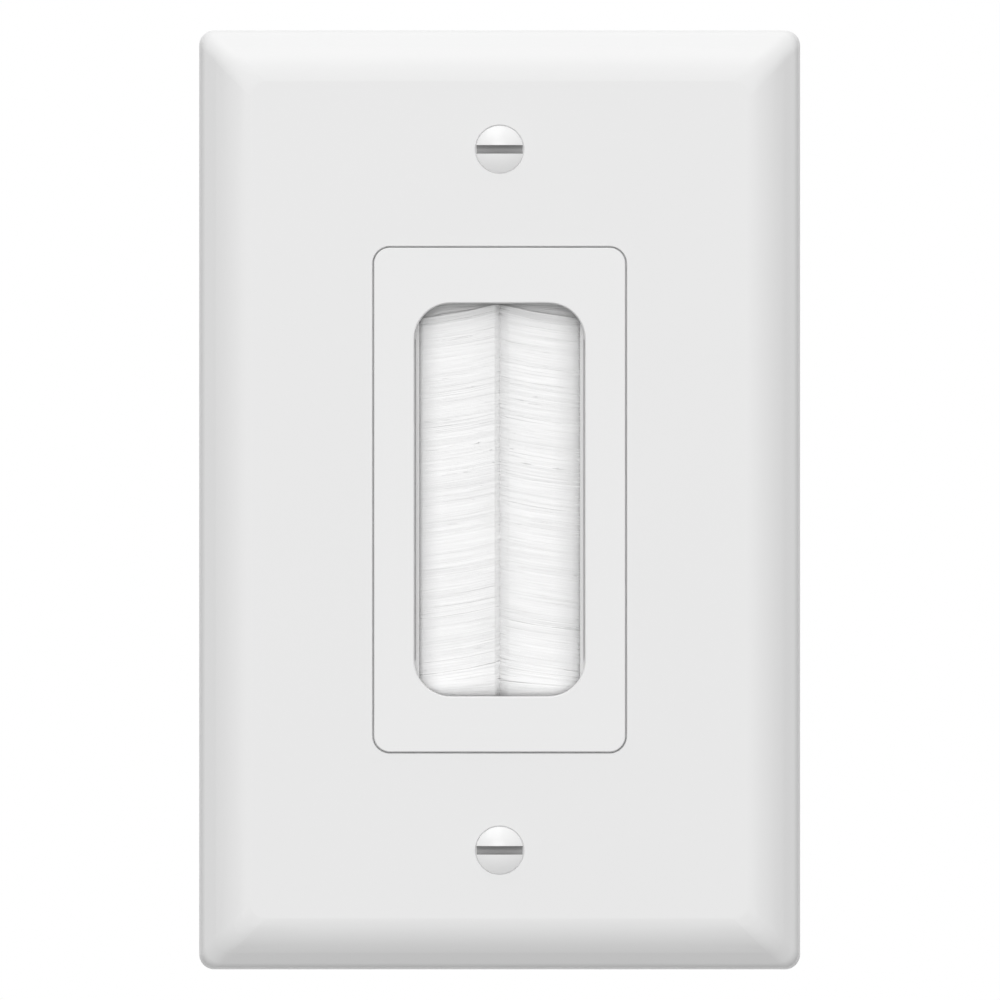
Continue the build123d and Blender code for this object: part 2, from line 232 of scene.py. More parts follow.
class ScrewSettings(bpy.types.PropertyGroup):
    """Sizes of the plate screws and the box screws."""

    thread_pitch: length("Thread pitch", "Distance between two turns of the thread", 0.794)
    thread_radius: length("Thread radius", "Outer radius of the thread", 1.75)
    thread_depth: length("Thread depth", "Crest to root of the thread", 0.42)
    tip_chamfer: length("Tip chamfer", "Chamfer at the end of the thread", 0.5)
    slot_hollow: length("Slot hollow", "How much deeper a slot is along its middle than at its walls", 0.11)
    plate_head_radius: length("Plate head radius", "Radius of the oval head", 3.15)
    plate_dome: length("Plate dome height", "Height of the oval head's dome", 0.95)
    plate_rim: length("Plate rim height", "Straight edge between dome and cone", 0.12)
    plate_slot_width: length("Plate slot width", "Width of the oval head's slot", 1.15)
    plate_slot_depth: length("Plate slot depth", "Depth of the oval head's slot", 1.2)
    plate_neck_length: length("Plate neck length", "Plain neck between cone and thread", 0.2)
    sink_angle: FloatProperty(
        name="Sink angle",
        description="Full angle of the oval head's cone",
        default=math.radians(82),
        subtype="ANGLE",
    )
    box_head_radius: length("Box head radius", "Radius of the low head", 2.75)
    box_head_height: length("Box head height", "Height of the low head", 1.7)
    box_head_chamfer: length("Box head chamfer", "Chamfer round the low head", 0.4)
    box_neck_radius: length("Box neck radius", "Thin neck that keeps the screw captive", 1.45)
    box_neck_length: length("Box neck length", "Head to the end of the neck", 2.5)
    box_thread_lead: length("Box thread lead", "Slope from the neck to the start of the thread", 0.1)
    box_slot_width: length("Box slot width", "Width of the low head's slot", 1.0)
    box_slot_depth: length("Box slot depth", "Depth of the low head's slot", 0.9)


class StageSettings(bpy.types.PropertyGroup):
    """Camera, lights and floor."""

    frame_width: length("Frame width", "Width of the view at the middle of the plate", 133.04)
    aim_x: FloatProperty(
        name="Aim across",
        description="Middle of the view, right of the insert's middle",
        default=0.047 * MM,
        unit="LENGTH",
        precision=5,
    )
    aim_z: FloatProperty(
        name="Aim up",
        description="Middle of the view, above the insert's middle",
        default=-0.02 * MM,
        unit="LENGTH",
        precision=5,
    )
    lens: FloatProperty(
        name="Lens",
        description="Focal length of the long lens, in millimetres",
        default=1200.0,
        min=1.0,
        unit="CAMERA",
    )
    sky_level: FloatProperty(
        name="Room light",
        description="Even light from all sides",
        default=0.82,
        min=0.0,
    )
    sky_front: FloatProperty(
        name="Light from the front",
        description="Extra room light from the front, and as much less from behind the plate",
        default=0.11,
    )
    sky_up: FloatProperty(
        name="Light from above",
        description="Extra room light from above, and as much less from below",
        default=0.43,
    )
    sky_side: FloatProperty(
        name="Dark sides",
        description="Room light that is missing at the left and the right",
        default=0.77,
    )
    key_place: point("Key place", "Middle of the soft box above and in front", (-1.0, -2.85, 3.45))
    key_power: FloatProperty(
        name="Key light",
        description="Power of that soft box",
        default=32.1,
        min=0.0,
        unit="POWER",
    )
    front_place: point("Front place", "Middle of the soft box behind the camera", (-0.3, -5.1, 0.75))
    front_power: FloatProperty(
        name="Front light",
        description="Power of that soft box",
        default=46.8,
        min=0.0,
        unit="POWER",
    )
    box_size: length("Soft box size", "Width and height of both soft boxes", 3000.0)
    floor_drop: length("Floor drop", "Insert's middle to the floor", 105.0)
    floor_radius: length("Floor radius", "Radius of the round floor", 450.0)
    fade_start: portion("Fade start", "Part of the floor's radius at which it starts to fade", 0.35)
    fade_end: portion("Fade end", "Part of the floor's radius at which it has faded", 0.98)
    floor: colour("Floor", "Matt paper of the floor", "#F2F2F2")


def add_node(tree, kind, inputs=None, **settings):
    """Adds a node, sets it up, and gives each listed input a value or a link from another node's output."""
    node = tree.nodes.new(kind)
    for name, value in settings.items():
        setattr(node, name, value)
    for name, value in (inputs or {}).items():
        if isinstance(value, bpy.types.NodeSocket):
            tree.links.new(value, node.inputs[name])
        else:
            node.inputs[name].default_value = value
    return node


def rgba(rgb):
    """An opaque colour for a node's socket."""
    return (*rgb, 1.0)


def per_metre(millimetres):
    """Scale of a pattern whose marks are this far apart."""
    return 1 / (millimetres * MM)


def new_material(name):
    """Empty node material, with its tree and its output."""
    material = bpy.data.materials.new(name)
    material.use_nodes = True
    tree = material.node_tree
    tree.nodes.clear()
    return material, tree, add_node(tree, "ShaderNodeOutputMaterial")


def mottled(tree, rgb, vector, size_mm, amount):
    """Colour that varies a little from place to place, between a darker and a lighter shade of it."""
    cloud = add_node(
        tree,
        "ShaderNodeTexNoise",
        {"Vector": vector, "Scale": per_metre(size_mm), "Detail": 3.0, "Roughness": 0.55},
    )
    dark = tuple(c * (1 - amount) for c in rgb)
    light = tuple(min(1.0, c * (1 + amount)) for c in rgb)
    mix = add_node(
        tree,
        "ShaderNodeMix",
        {MIX_FACTOR: cloud.outputs["Fac"], MIX_FIRST: rgba(dark), MIX_SECOND: rgba(light)},
        data_type="RGBA",
    )
    return mix.outputs[MIX_RESULT]


def moulded_polycarbonate(rgb):
    """Injection-moulded polycarbonate from a polished, lightly blasted mould.

    The eye sees an even white with a soft sheen that blurs reflections,
    and a grain so fine that only the edge of a highlight shows it.
    """
    grain_mm = 0.45  # drawn coarser than the blasted mould's own grain, so that it shows
    flow_mm = 14.0  # slow change of shade where the plastic flowed together
    material, tree, output = new_material("moulded polycarbonate")
    place = add_node(tree, "ShaderNodeTexCoord").outputs["Object"]
    grain = add_node(
        tree,
        "ShaderNodeTexNoise",
        {"Vector": place, "Scale": per_metre(grain_mm), "Detail": 2.0},
    )
    bump = add_node(
        tree,
        "ShaderNodeBump",
        {"Strength": 0.05, "Distance": 0.01 * MM, "Height": grain.outputs["Fac"]},
    )
    shader = add_node(
        tree,
        "ShaderNodeBsdfPrincipled",
        {
            "Base Color": mottled(tree, rgb, place, flow_mm, amount=0.006),
            "Roughness": 0.36,
            "IOR": 1.58,
            "Normal": bump.outputs["Normal"],
        },
    )
    tree.links.new(shader.outputs["BSDF"], output.inputs["Surface"])
    return material


def moulded_abs(rgb, shaded_inside_rgb):
    """Injection-moulded ABS with a satin, spark-eroded face, and painted shade behind it.

    The eye sees a slightly brighter and flatter white than the plate's, because the fine texture
    spreads what it reflects. Behind the face the white is painted greyer, as painted shade in the recesses.
    """
    pit_mm = 0.3  # drawn coarser than the eroded mould's own pits, so that they show
    material, tree, output = new_material("moulded ABS")
    place = add_node(tree, "ShaderNodeTexCoord").outputs["Object"]
    level = add_node(tree, "ShaderNodeSeparateXYZ", {"Vector": place}).outputs["Y"]
    # Painted shade: behind the face the white turns to the greyer inside colour
    inside = add_node(
        tree,
        "ShaderNodeMapRange",
        {"Value": level, "From Min": FACE_END, "From Max": FACE_END + FACE_FADE},
    )
    white = add_node(
        tree,
        "ShaderNodeMix",
        {MIX_FACTOR: inside.outputs["Result"], MIX_FIRST: rgba(rgb), MIX_SECOND: rgba(shaded_inside_rgb)},
        data_type="RGBA",
    )
    pits = add_node(
        tree,
        "ShaderNodeTexNoise",
        {"Vector": place, "Scale": per_metre(pit_mm), "Detail": 3.0},
    )
    bump = add_node(
        tree,
        "ShaderNodeBump",
        {"Strength": 0.08, "Distance": 0.01 * MM, "Height": pits.outputs["Fac"]},
    )
    shader = add_node(
        tree,
        "ShaderNodeBsdfPrincipled",
        {
            "Base Color": white.outputs[MIX_RESULT],
            "Roughness": 0.46,
            "IOR": 1.54,
            "Normal": bump.outputs["Normal"],
        },
    )
    tree.links.new(shader.outputs["BSDF"], output.inputs["Surface"])
    return material


def drawn_nylon(rgb, darkest):
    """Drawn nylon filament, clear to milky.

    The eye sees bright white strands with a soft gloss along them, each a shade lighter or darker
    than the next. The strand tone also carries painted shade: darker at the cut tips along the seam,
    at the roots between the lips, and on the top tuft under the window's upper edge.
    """
    material, tree, output = new_material("drawn nylon filament")
    tone = add_node(tree, "ShaderNodeAttribute", attribute_name="strand_tone")
    dark = tuple(c * darkest for c in rgb)
    strand = add_node(
        tree,
        "ShaderNodeMix",
        {MIX_FACTOR: tone.outputs["Fac"], MIX_FIRST: rgba(dark), MIX_SECOND: rgba(rgb)},
        data_type="RGBA",
    )
    shader = add_node(
        tree,
        "ShaderNodeBsdfPrincipled",
        {"Base Color": strand.outputs[MIX_RESULT], "Roughness": 0.38, "IOR": 1.53},
    )
    tree.links.new(shader.outputs["BSDF"], output.inputs["Surface"])
    return material


def baked_enamel(rgb, steel):
    """White enamel baked on a steel screw.

    The eye sees a smooth, glossy white with a slight ripple where the paint flowed.
    The slot's floor is painted a dull grey, as painted shade in the slot.
    """
    ripple_mm = 1.1  # width of the paint's waves
    material, tree, output = new_material("baked enamel on steel")
    place = add_node(tree, "ShaderNodeTexCoord").outputs["Object"]
    # Painted shade: the slot's floor takes the grey given as steel
    slot_shade = add_node(tree, "ShaderNodeAttribute", attribute_name="bare_steel")
    coat = add_node(
        tree,
        "ShaderNodeMix",
        {MIX_FACTOR: slot_shade.outputs["Fac"], MIX_FIRST: rgba(rgb), MIX_SECOND: rgba(steel)},
        data_type="RGBA",
    )
    ripple = add_node(
        tree,
        "ShaderNodeTexNoise",
        {"Vector": place, "Scale": per_metre(ripple_mm), "Detail": 1.0},
    )
    bump = add_node(
        tree,
        "ShaderNodeBump",
        {"Strength": 0.1, "Distance": 0.02 * MM, "Height": ripple.outputs["Fac"]},
    )
    shader = add_node(
        tree,
        "ShaderNodeBsdfPrincipled",
        {
            "Base Color": coat.outputs[MIX_RESULT],
            "Roughness": 0.26,
            "IOR": 1.5,
            "Coat Weight": 0.4,
            "Coat Roughness": 0.12,
            "Normal": bump.outputs["Normal"],
        },
    )
    tree.links.new(shader.outputs["BSDF"], output.inputs["Surface"])
    return material


def grained_metal(name, rgb, grain_mm, stretch, roughness):
    """Metal whose drawn, rolled or plated surface has a grain, stretched along its working direction.

    The grain is drawn coarser than the real one, so that it shows.
    """
    smoother, duller = 0.08, 0.1  # how far the grain changes the roughness
    material, tree, output = new_material(name)
    place = add_node(tree, "ShaderNodeTexCoord").outputs["Object"]
    drawn = add_node(
        tree,
        "ShaderNodeMapping",
        {"Vector": place, "Scale": stretch},
        vector_type="POINT",
    )
    grain = add_node(
        tree,
        "ShaderNodeTexNoise",
        {"Vector": drawn.outputs["Vector"], "Scale": per_metre(grain_mm), "Detail": 4.0},
    )
    dull = add_node(
        tree,
        "ShaderNodeMapRange",
        {"Value": grain.outputs["Fac"], "To Min": roughness - smoother, "To Max": roughness + duller},
    )
    bump = add_node(
        tree,
        "ShaderNodeBump",
        {"Strength": 0.25, "Distance": 0.01 * MM, "Height": grain.outputs["Fac"]},
    )
    shader = add_node(
        tree,
        "ShaderNodeBsdfPrincipled",
        {
            "Base Color": mottled(tree, rgb, drawn.outputs["Vector"], 3 * grain_mm, amount=0.08),
            "Metallic": 1.0,
            "Roughness": dull.outputs["Result"],
            "Normal": bump.outputs["Normal"],
        },
    )
    tree.links.new(shader.outputs["BSDF"], output.inputs["Surface"])
    return material


def dress(node_name, material):
    """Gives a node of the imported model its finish."""
    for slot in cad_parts[node_name].material_slots:
        slot.material = material


def add_piece(name, mesh, material, node_name):
    """Links a new piece that stands for a node and shares its body."""
    mesh.materials.append(material)
    piece = bpy.data.objects.new(name, mesh)
    bpy.context.scene.collection.objects.link(piece)
    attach(piece, BODY)
    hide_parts(node_name)
    return piece


class BRUSHPLATE_OT_plate(bpy.types.Operator):
    """Finish the wall plate"""

    bl_idname = "brush_plate.plate"
    bl_label = "Wall plate"

    def execute(self, context):
        dress("wall_plate", moulded_polycarbonate(context.scene.brush_plate_finish.plate))
        return {"FINISHED"}


class BRUSHPLATE_OT_insert(bpy.types.Operator):
    """Finish the insert frame and the brush retainer"""

    bl_idname = "brush_plate.insert"
    bl_label = "Insert and retainer"

    def execute(self, context):
        finish = context.scene.brush_plate_finish
        material = moulded_abs(finish.insert, finish.insert_shaded_inside)
        dress("insert_frame", material)
        dress("brush_retainer", material)
        return {"FINISHED"}


class BRUSHPLATE_OT_channels(bpy.types.Operator):
    """Finish the brush channels and their core wires"""

    bl_idname = "brush_plate.channels"
    bl_label = "Channels and core wires"

    def execute(self, context):
        finish = context.scene.brush_plate_finish
        # Rolled sheet: long faint lines along the channel and a soft, whitish mirror.
        sheet = grained_metal(
            "rolled aluminium sheet",
            finish.aluminium,
            grain_mm=0.25,
            stretch=(1.0, 1.0, 0.04),
            roughness=0.34,
        )
        # Drawn wire: fine die marks along its length and a brighter, tighter highlight.
        wire = grained_metal(
            "drawn steel wire",
            finish.steel,
            grain_mm=0.15,
            stretch=(1.0, 1.0, 0.03),
            roughness=0.26,
        )
        for side in MIRRORS:
            dress(f"{side}_brush_channel", sheet)
            dress(f"{side}_core_wire", wire)
        return {"FINISHED"}


def pack_profile(brush, side):
    """Distance from the channel's mouth and half thickness of the filaments, from the lips to the seam."""
    full = brush.lip_reach + getattr(brush, f"{side}_flare")
    fall = bristle_reach - getattr(brush, f"{side}_seam")
    return [
        (brush.lip_reach, brush.lip_half),
        (brush.lip_reach + getattr(brush, f"{side}_first"), brush.lip_half + brush.first_spread),
        (full, bristle_half),
        ((full + fall) / 2, bristle_half),
        (fall, bristle_half),
        (bristle_reach, bristle_half - brush.seam_sink),
    ]


def pack_rise(share):
    """Height gained at a share of the way to the seam: the filaments curl upwards."""
    rise = RISE_STRAIGHT * share + RISE_CURL * share**2 + RISE_KICK * share**6
    return (bristle_high.z - channel_high.z) * rise


def filament_lines(brush, side, rng):
    """Centrelines of one brush's filaments, from the front tip over the core wire to the back tip.

    Returned as distance from the channel's mouth, distance from the brush's middle plane and height,
    each with a row for every filament, with its share in the foot of the pack and the number of its tuft.
    """
    count = brush.filament_count
    bottom, top = channel_low.z, channel_high.z
    radius = brush.filament_diameter / 2
    wire_reach = channel_low.x - (wire_low.x + wire_high.x) / 2
    wire_radius = (wire_high.x - wire_low.x) / 2
    profile = pack_profile(brush, side)[::-1]

    step = (top - bottom - 2 * radius) / count
    height = bottom + radius + step * (np.arange(count) + rng.uniform(0, 1, count))
    tuft = np.floor((height - bottom) / brush.tuft_pitch).astype(int)
    tufts = tuft.max() + 1
    low = np.clip(1 - (height - bottom) / brush.end_fan, 0, 1)
    high = np.clip(1 - (top - height) / brush.end_fan, 0, 1)
    fan = brush.splay_lift * high**FAN_POWER - brush.splay_drop * low**FAN_POWER
    foot = np.clip(1 - (height - bottom) / brush.foot, 0, 1)
    # Every second one of the highest filaments is loose, and each stands a little higher than the last.
    loose = np.zeros(count, bool)
    loose[count - 2 * brush.loose_count::2] = True
    stand = np.zeros(count)
    stand[loose] = np.linspace(0, 1, brush.loose_count)

    def leg(facing, past, skipped):
        """One leg of each filament, from its tip to the core wire, without some stations of the profile."""
        sunk = brush.skin / bristle_half * rng.uniform(0, 1, count) ** SINK_POWER
        sunk += np.abs(rng.normal(0, brush.tuft_sink, tufts))[tuft]
        sunk += brush.foot_sink / bristle_half * foot**2
        sunk = np.where(loose, rng.uniform(*LOOSE_DEPTH, count), sunk)
        stray = rng.normal(0, brush.tuft_stray, tufts)[tuft] + rng.normal(0, brush.stray, count)
        bow = rng.normal(0, brush.bow, count)
        end = bristle_reach + past + rng.normal(0, brush.tip_spread, count)
        stations, across, up = [], [], []
        for number, (station, half) in enumerate(profile):
            if number in skipped:
                continue
            at = end if number == 0 else np.full(count, station)
            share = at / bristle_reach
            rise = pack_rise(share)
            lean = (stray + fan) * share**2 + bow * np.sin(math.pi * np.minimum(share, 1))
            room = top - height + stand * (bristle_high.z + brush.loose_over - top - rise)
            lean = np.where(loose, room * np.minimum(1, share / LOOSE_BEND), lean)
            ceiling = bristle_high.z - radius + loose * brush.loose_over
            stations.append(at)
            across.append((half - radius) * (1 - sunk))
            up.append(np.minimum(height + rise + lean, ceiling))
        stations.append(np.full(count, wire_reach))
        across.append(wire_radius + 2 * radius + ROOT_SPREAD * brush.skin * rng.uniform(0, 1, count))
        up.append(height)
        return np.array(stations).T, facing * np.array(across).T, np.array(up).T

    # The back leg is plainer: it leaves out the middle of the flat and the first flare.
    front = leg(-1, 0.0, ())
    back = leg(1, 2 * brush.tip_spread, (2, 4))
    fold = (wire_reach - np.abs(front[1][:, -1:]), np.zeros((count, 1)), height[:, None])
    return *(np.hstack([f, m, b[:, ::-1]]) for f, m, b in zip(front, fold, back)), foot, tuft


def core_rings(brush, side):
    """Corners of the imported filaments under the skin, from the channel's mouth to the tips."""
    rings = []
    for station, half in [(CORE_START, brush.lip_half), *pack_profile(brush, side)]:
        share = max(0.0, station / bristle_reach)
        thick = half * (1 - CORE_DEPTH * brush.skin / bristle_half)
        low = channel_low.z + brush.foot + pack_rise(share) - brush.splay_drop * share**2
        high = channel_high.z - brush.skin + pack_rise(share)
        corners = ((-thick, low), (thick, low), (thick, high), (-thick, high))
        rings.append([(station, across, up) for across, up in corners])
    return rings


def tube_faces(rings, sides, first):
    """Faces of a closed tube of rings, numbered from a first vertex: its wall, then its two ends."""
    faces = []
    for ring in range(rings - 1):
        for k in range(sides):
            a = first + ring * sides + k
            b = first + ring * sides + (k + 1) % sides
            faces.append((a, b, b + sides, a + sides))
    last = first + (rings - 1) * sides
    faces.append(tuple(range(first + sides - 1, first - 1, -1)))
    faces.append(tuple(range(last, last + sides)))
    return faces


def strand_tubes(brush, lines, foot, mirror, rng):
    """Corners of the tubes along the filaments, and the directions in which they shade."""
    reach, across, up = lines
    depth = (bristle_low.y + bristle_high.y) / 2
    centre = np.stack([mirror * (channel_low.x - reach), depth + across, up], axis=-1)
    along = np.gradient(centre, axis=1)
    along /= np.linalg.norm(along, axis=2, keepdims=True)
    first = np.cross(along, (0.0, 0.0, 1.0))
    first /= np.linalg.norm(first, axis=2, keepdims=True)
    second = np.cross(along, first)
    # One flat of each tube looks outwards, give or take a little, so that all catch the light evenly.
    flat = math.pi / STRAND_SIDES if mirror > 0 else 0.0
    turn = flat + rng.uniform(-STRAND_TURN, STRAND_TURN, (len(centre), 1, 1))
    # The strands scatter light into one another, so they shade more like one soft surface than like tubes.
    outward = np.zeros_like(centre)
    outward[..., 1] = np.sign(across)
    outward[..., 2] = -2 * brush.foot_sink / brush.foot * foot[:, None]  # the foot leans back
    outward -= along * np.sum(along * outward, axis=2, keepdims=True)
    corners, shading = [], []
    for k in range(STRAND_SIDES):
        angle = turn + 2 * math.pi * k / STRAND_SIDES
        spoke = np.cos(angle) * first + np.sin(angle) * second
        corners.append(centre + brush.filament_diameter / 2 * spoke)
        shading.append(brush.roundness * spoke + (1 - brush.roundness) * outward)
    return np.stack(corners, axis=2).reshape(-1, 3), np.stack(shading, axis=2).reshape(-1, 3)


def ring_tones(brush, side, tuft, rings, rng):
    """Brightness of each strand at each of its rings, from 0 for the darkest to 1, with painted shade at the
    tips, the roots and the top tuft.
    """
    count, top = len(tuft), tuft.max()
    tone = rng.uniform(1 - brush.strand_tones, 1, count) + rng.normal(0, brush.tuft_tones, top + 1)[tuft]
    # Painted shadow of the window's upper edge on the top tuft
    tone[tuft == top] *= brush.top_tuft_shadow
    tone = np.clip(tone[:, None] + rng.normal(0, brush.streaks, (count, rings)), 0, 1)
    # Painted shade: the cut tips darker along the seam, the right ones more than the left
    tip = getattr(brush, f"{side}_tip_shade")
    tone[:, [0, -1]] = tip
    tone[:, 1] = (1 - TIP_BLEND) * tone[:, 1] + TIP_BLEND * tip
    # Painted shade: the roots between the lips darker, and the end of the first flare halfway to them
    root = getattr(brush, f"{side}_root_shade")
    tone[:, LIP_RINGS] = root
    tone[:, FLARE_RING] = (tone[:, FLARE_RING] + root) / 2
    return tone


def bristle_mesh(name, brush, side, mirror, seed):
    """Filaments of one brush as three-sided tubes round a packed core."""
    rng = np.random.default_rng(seed)
    *lines, foot, tuft = filament_lines(brush, side, rng)
    count, rings = lines[0].shape
    strands, shading = strand_tubes(brush, lines, foot, mirror, rng)
    tones = ring_tones(brush, side, tuft, rings, rng)
    core = core_rings(brush, side)
    depth = (bristle_low.y + bristle_high.y) / 2
    core_points = [
        (mirror * (channel_low.x - station), depth + across, up)
        for ring in core
        for station, across, up in ring
    ]
    *walls, front_end, back_end = tube_faces(rings, STRAND_SIDES, 0)
    starts = np.arange(count)[:, None, None] * rings * STRAND_SIDES
    strand_walls = (np.array(walls) + starts).reshape(-1, 4).tolist()
    strand_ends = (np.array([front_end, back_end]) + starts).reshape(-1, STRAND_SIDES).tolist()
    core_faces = tube_faces(len(core), len(core[0]), len(strands))
    mesh = bpy.data.meshes.new(name)
    mesh.from_pydata(strands.tolist() + core_points, [], strand_walls + strand_ends + core_faces)
    mesh.update()
    # Strand tones with their painted shade at tips, roots and top tuft; the core keeps its own tone
    tone = np.concatenate([np.repeat(tones.ravel(), STRAND_SIDES), np.full(len(core_points), CORE_TONE)])
    mesh.attributes.new("strand_tone", "FLOAT", "POINT").data.foreach_set("value", tone.astype(np.float32))
    smooth = np.ones(len(mesh.polygons), bool)
    smooth[-len(core_faces):] = False
    mesh.polygons.foreach_set("use_smooth", smooth)
    normals = np.zeros((len(mesh.vertices), 3))  # a zero leaves the core's own normals
    normals[:len(shading)] = shading
    mesh.normals_split_custom_set_from_vertices(normals.tolist())
    return mesh


class BRUSHPLATE_OT_bristles(bpy.types.Operator):
    """Build the filaments of both strip brushes"""

    bl_idname = "brush_plate.bristles"
    bl_label = "Bristles"

    def execute(self, context):
        brush = context.scene.brush_plate_brush
        finish = context.scene.brush_plate_finish
        material = drawn_nylon(finish.filament, finish.darkest)
        for number, (side, mirror) in enumerate(MIRRORS.items()):
            mesh = bristle_mesh(f"{side}_filaments", brush, side, mirror, brush.seed + number)
            add_piece(f"{side}_filaments", mesh, material, f"{side}_bristles")
        return {"FINISHED"}


def thread_height(levels, angles, start, end, pitch):
    """Share of the thread's depth at each level and angle, run out at both ends."""
    turn = (levels[:, None] / pitch - angles[None, :] / (2 * math.pi)) % 1
    flank = np.clip((np.abs(2 * turn - 1) - THREAD_ROOT) / THREAD_FLANK, 0, 1)
    run_in = np.clip((levels - start) / pitch, 0, 1)
    run_out = np.clip((end - levels) / pitch, 0, 1)
    return flank * (run_in * run_out)[:, None]


def turned_mesh(name, head, thread_start, thread_end, screws):
    """Screw along Y: a turned head given as (level, radius) points, then a threaded shank with a chamfer."""
    angles = np.linspace(0, 2 * math.pi, ROUND_SEGMENTS, endpoint=False)
    rows = max(2, round((thread_end - thread_start) / screws.thread_pitch * THREAD_STEPS))
    levels = np.linspace(thread_start, thread_end, rows)
    share = thread_height(levels, angles, thread_start, thread_end, screws.thread_pitch)
    radii = screws.thread_radius - screws.thread_depth * (1 - share)
    tip = screws.thread_radius - (levels - (thread_end - screws.tip_chamfer))
    radii = np.minimum(radii, np.minimum(screws.thread_radius, tip)[:, None])
    head_levels = np.array([level for level, radius in head])
    head_radii = np.repeat(np.array([[radius] for level, radius in head]), ROUND_SEGMENTS, axis=1)
    levels = np.concatenate([head_levels, levels])
    radii = np.concatenate([head_radii, radii])
    x = radii * np.sin(angles)
    z = radii * np.cos(angles)
    y = np.repeat(levels[:, None], ROUND_SEGMENTS, axis=1)
    points = np.stack([x, y, z], axis=-1).reshape(-1, 3)
    mesh = bpy.data.meshes.new(name)
    mesh.from_pydata(points.tolist(), [], tube_faces(len(levels), ROUND_SEGMENTS, 0))
    mesh.update()
    return mesh


def cut_slot(mesh, top, depth, width, hollow, span):
    """Mesh with a straight driver slot, hollow along its floor, cut across the top of its head."""
    stations = np.linspace(-1, 1, SLOT_STEPS)
    floor = [(top + depth - hollow * share**2, share * width / 2) for share in stations]
    section = [(top - depth, -width / 2), *floor, (top - depth, width / 2)]
    corners = [(x, y, z) for x in (-span, span) for y, z in section]
    bar = bpy.data.meshes.new("slot_cutter")
    bar.from_pydata(corners, [], tube_faces(2, len(section), 0))
    cutter = bpy.data.objects.new("slot_cutter", bar)
    blank = bpy.data.objects.new("screw_blank", mesh)
    for item in (cutter, blank):
        bpy.context.scene.collection.objects.link(item)
    cut = blank.modifiers.new("slot", "BOOLEAN")
    cut.operation = "DIFFERENCE"
    cut.solver = "EXACT"
    cut.object = cutter
    bpy.context.view_layer.update()
    evaluated = blank.evaluated_get(bpy.context.evaluated_depsgraph_get())
    slotted = bpy.data.meshes.new_from_object(evaluated)
    slotted.name = mesh.name
    for item in (cutter, blank):
        bpy.data.objects.remove(item)
    bpy.data.meshes.remove(bar)
    bpy.data.meshes.remove(mesh)
    # Faces that look forwards from the slot's floor take the painted shade of the slot.
    floor_edge = top + depth - hollow
    rounding = 0.01 * hollow
    forwards = -0.5
    centres = np.empty(3 * len(slotted.polygons))
    facing = np.empty_like(centres)
    slotted.polygons.foreach_get("center", centres)
    slotted.polygons.foreach_get("normal", facing)
    slot_shade = (centres.reshape(-1, 3)[:, 1] > floor_edge - rounding) & (facing.reshape(-1, 3)[:, 1] < forwards)
    slotted.attributes.new("bare_steel", "FLOAT", "FACE").data.foreach_set("value", slot_shade.astype(np.float32))
    slotted.polygons.foreach_set("use_smooth", np.ones(len(slotted.polygons), bool))
    slotted.set_sharp_from_angle(angle=SHARP_ANGLE)
    return slotted


def place_pair(names, mesh, height, material, node_name):
    """The same screw above and below the insert."""
    for name, z in zip(names, (height, -height)):
        piece = add_piece(name, mesh if z > 0 else mesh.copy(), material, node_name)
        piece.location.z = z


class BRUSHPLATE_OT_plate_screws(bpy.types.Operator):
    """Build the two slotted oval-head plate screws"""

    bl_idname = "brush_plate.plate_screws"
    bl_label = "Plate screws"

    def execute(self, context):
        screws = context.scene.brush_plate_screws
        top = plate_screw_low.y
        radius = screws.plate_head_radius
        ball = (radius**2 + screws.plate_dome**2) / (2 * screws.plate_dome)
        head = []
        for share in DOME_STATIONS:
            across = radius * share
            head.append((top + ball - math.sqrt(ball**2 - across**2), across))
        rim = top + screws.plate_dome + screws.plate_rim
        head.append((rim, radius))
        cone = (radius - screws.thread_radius) / math.tan(screws.sink_angle / 2)
        head.append((rim + cone, screws.thread_radius))
        start = rim + cone + screws.plate_neck_length
        mesh = turned_mesh("plate_screw", head, start, plate_screw_high.y, screws)
        mesh = cut_slot(
            mesh, top, screws.plate_slot_depth, screws.plate_slot_width, screws.slot_hollow, 2 * radius
        )
        finish = context.scene.brush_plate_finish
        material = baked_enamel(finish.paint, finish.slot)
        height = plate_screw_high.z - radius
        names = ("upper_plate_screw", "lower_plate_screw")
        place_pair(names, mesh, height, material, "plate_screws")
        return {"FINISHED"}


class BRUSHPLATE_OT_box_screws(bpy.types.Operator):
    """Build the two screws that fasten the insert to the wall box"""

    bl_idname = "brush_plate.box_screws"
    bl_label = "Box screws"

    def execute(self, context):
        screws = context.scene.brush_plate_screws
        top = box_screw_low.y
        radius = screws.box_head_radius
        chamfer = screws.box_head_chamfer
        seat = top + screws.box_head_height
        neck_end = seat + screws.box_neck_length
        head = [
            (top, HEAD_CENTRE * radius),
            (top, radius - chamfer),
            (top + chamfer, radius),
            (seat, radius),
            (seat, screws.box_neck_radius),
            (neck_end, screws.box_neck_radius),
        ]
        start = neck_end + screws.box_thread_lead
        mesh = turned_mesh("box_screw", head, start, box_screw_high.y, screws)
        mesh = cut_slot(
            mesh, top, screws.box_slot_depth, screws.box_slot_width, screws.slot_hollow, 2 * radius
        )
        # Zinc plate: a bluish grey with a fine, even crystal grain that dulls the mirror.
        finish = context.scene.brush_plate_finish
        material = grained_metal(
            "zinc plate on steel",
            finish.zinc,
            grain_mm=0.35,
            stretch=(1.0, 1.0, 1.0),
            roughness=0.3,
        )
        height = box_screw_high.z - radius
        names = ("upper_box_screw", "lower_box_screw")
        place_pair(names, mesh, height, material, "box_screws")
        return {"FINISHED"}


